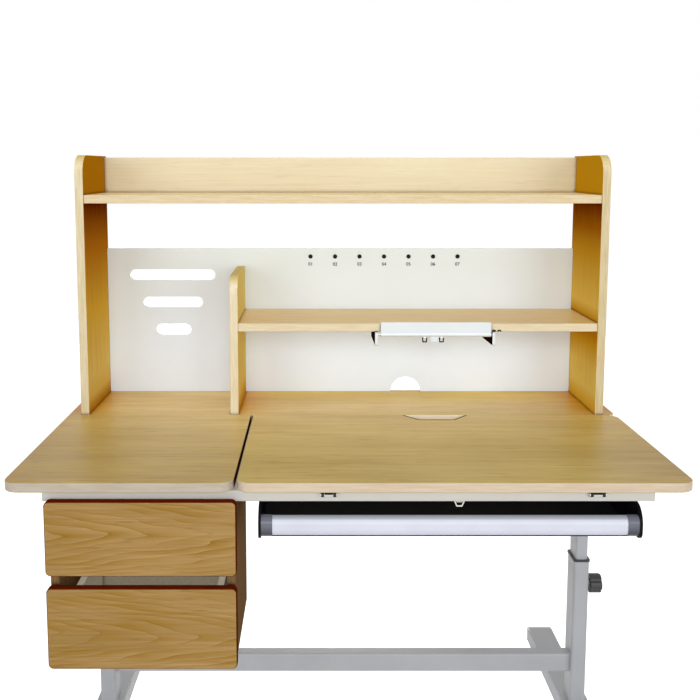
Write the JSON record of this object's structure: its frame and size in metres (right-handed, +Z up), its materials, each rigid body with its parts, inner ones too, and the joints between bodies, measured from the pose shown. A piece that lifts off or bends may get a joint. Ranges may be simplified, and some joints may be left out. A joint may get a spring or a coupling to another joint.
{
  "type": "student desk with hutch",
  "caption": "Student desk with an open hutch, a tilting writing board, a pen drawer and a drawer cabinet, on height-adjustable steel legs.",
  "frame": {"origin": "on the floor, under the middle of the desk board", "axes": "+Z up, -Y towards the person who sits at the desk, +X to that person's right"},
  "size_m": [1.2, 0.7, 1.205],
  "materials": {
    "maple_board": "satin maple-look laminate",
    "white_panel": "smooth off-white foil",
    "dark_carcass": "dark brown laminate",
    "drawer_box": "plain pale board",
    "beech_dowel": "bare beech",
    "pale_steel": "pale grey powder coat",
    "black_steel": "black powder coat",
    "white_steel": "white powder coat",
    "zinc_steel": "zinc plated",
    "silver_bar": "satin silver",
    "black_plastic": "fine grain",
    "grey_plastic": "satin",
    "rubber": "matt"
  },
  "bodies": {
    "base": {"outer_columns": "pale_steel", "column_bushes": "black_plastic", "feet": "pale_steel", "foot_caps": "grey_plastic", "foot_pads": "rubber", "stretcher": "pale_steel"},
    "desk": {"fixed_top": "maple_board", "hutch_side_left": "maple_board", "hutch_side_right": "maple_board", "hutch_divider": "maple_board", "hutch_top_shelf": "maple_board", "hutch_mid_shelf": "maple_board", "hutch_upstand": "maple_board", "hutch_back_panel": "white_panel", "note_pegs": "black_plastic", "shelf_dowels": "beech_dowel", "desk_screws": "zinc_steel", "book_rest_pin": "zinc_steel", "book_rest_cheeks": "white_steel", "front_rail": "pale_steel", "rail_caps": "grey_plastic", "rear_rail": "pale_steel", "left_beam": "pale_steel", "centre_beam": "pale_steel", "right_beam": "pale_steel", "board_spacers": "black_plastic", "rubber_pads": "rubber", "hinge_bases": "black_steel", "hinge_pins": "zinc_steel", "racks": "black_steel", "pen_rails": "zinc_steel", "cabinet_sides": "dark_carcass", "cabinet_top": "dark_carcass", "cabinet_bottom": "dark_carcass", "cabinet_back": "dark_carcass", "cabinet_runners": "zinc_steel", "inner_columns": "pale_steel", "column_plugs": "black_plastic"},
    "tilt_board": {"tilt_top": "maple_board", "hinge_leaves": "black_steel", "prop_brackets": "black_steel"},
    "prop": {"prop_rod": "zinc_steel", "prop_arms": "black_steel"},
    "pen_drawer": {"pen_tray": "black_plastic", "pen_drawer_bar": "silver_bar", "pen_drawer_caps": "grey_plastic"},
    "upper_drawer": {"upper_drawer_front": "maple_board", "upper_drawer_walls": "drawer_box", "upper_drawer_base": "drawer_box", "upper_drawer_runners": "zinc_steel"},
    "lower_drawer": {"lower_drawer_front": "maple_board", "lower_drawer_walls": "drawer_box", "lower_drawer_base": "drawer_box", "lower_drawer_runners": "zinc_steel"},
    "book_rest": {"book_rest_plate": "white_steel"},
    "page_clip_left": {"page_clip_left": "black_steel"},
    "page_clip_right": {"page_clip_right": "black_steel"},
    "pull": {"pull_loop": "zinc_steel"},
    "clamp_knob_left": {"clamp_knob_left": "black_plastic"},
    "clamp_knob_right": {"clamp_knob_right": "black_plastic"}
  },
  "joints": [
    {"name": "desk_height", "type": "slide", "parent": "base", "child": "desk", "axis": [0, 0, 1], "range_m": [-0.1, 0.12]},
    {"name": "board_tilt", "type": "hinge", "parent": "desk", "child": "tilt_board", "pos_m": [0.2025, -0.3315, 0.613], "axis": [1, 0, 0], "range_deg": [0, 45]},
    {"name": "prop_swing", "type": "hinge", "parent": "tilt_board", "child": "prop", "pos_m": [0.2025, -0.1365, 0.613], "axis": [1, 0, 0], "range_deg": [-90, 0]},
    {"name": "pen_drawer_slide", "type": "slide", "parent": "desk", "child": "pen_drawer", "axis": [0, -1, 0], "range_m": [0, 0.165]},
    {"name": "upper_drawer_slide", "type": "slide", "parent": "desk", "child": "upper_drawer", "axis": [0, -1, 0], "range_m": [0, 0.18]},
    {"name": "lower_drawer_slide", "type": "slide", "parent": "desk", "child": "lower_drawer", "axis": [0, -1, 0], "range_m": [0, 0.18]},
    {"name": "book_rest_fold", "type": "hinge", "parent": "desk", "child": "book_rest", "pos_m": [0.20305, 0.1115, 0.8175], "axis": [1, 0, 0], "range_deg": [0, 90]},
    {"name": "page_clip_left_swing", "type": "hinge", "parent": "book_rest", "child": "page_clip_left", "pos_m": [0.17885, 0.1115, 0.8109], "axis": [-1, 0, 0], "range_deg": [0, 80]},
    {"name": "page_clip_right_swing", "type": "hinge", "parent": "book_rest", "child": "page_clip_right", "pos_m": [0.21545, 0.1115, 0.8109], "axis": [-1, 0, 0], "range_deg": [0, 80]},
    {"name": "pull_swing", "type": "hinge", "parent": "desk", "child": "pull", "pos_m": [0.196, -0.313, 0.5952], "axis": [1, 0, 0], "range_deg": [-60, 60]},
    {"name": "clamp_knob_left_turn", "type": "hinge", "parent": "base", "child": "clamp_knob_left", "pos_m": [-0.499, 0.005, 0.302], "axis": [-1, 0, 0], "range_deg": [0, 360]},
    {"name": "clamp_knob_right_turn", "type": "hinge", "parent": "base", "child": "clamp_knob_right", "pos_m": [0.499, 0.005, 0.302], "axis": [1, 0, 0], "range_deg": [0, 360]}
  ],
  "couplings": [
    {"joint": "prop_swing", "follows": "board_tilt", "ratio": -2}
  ]
}
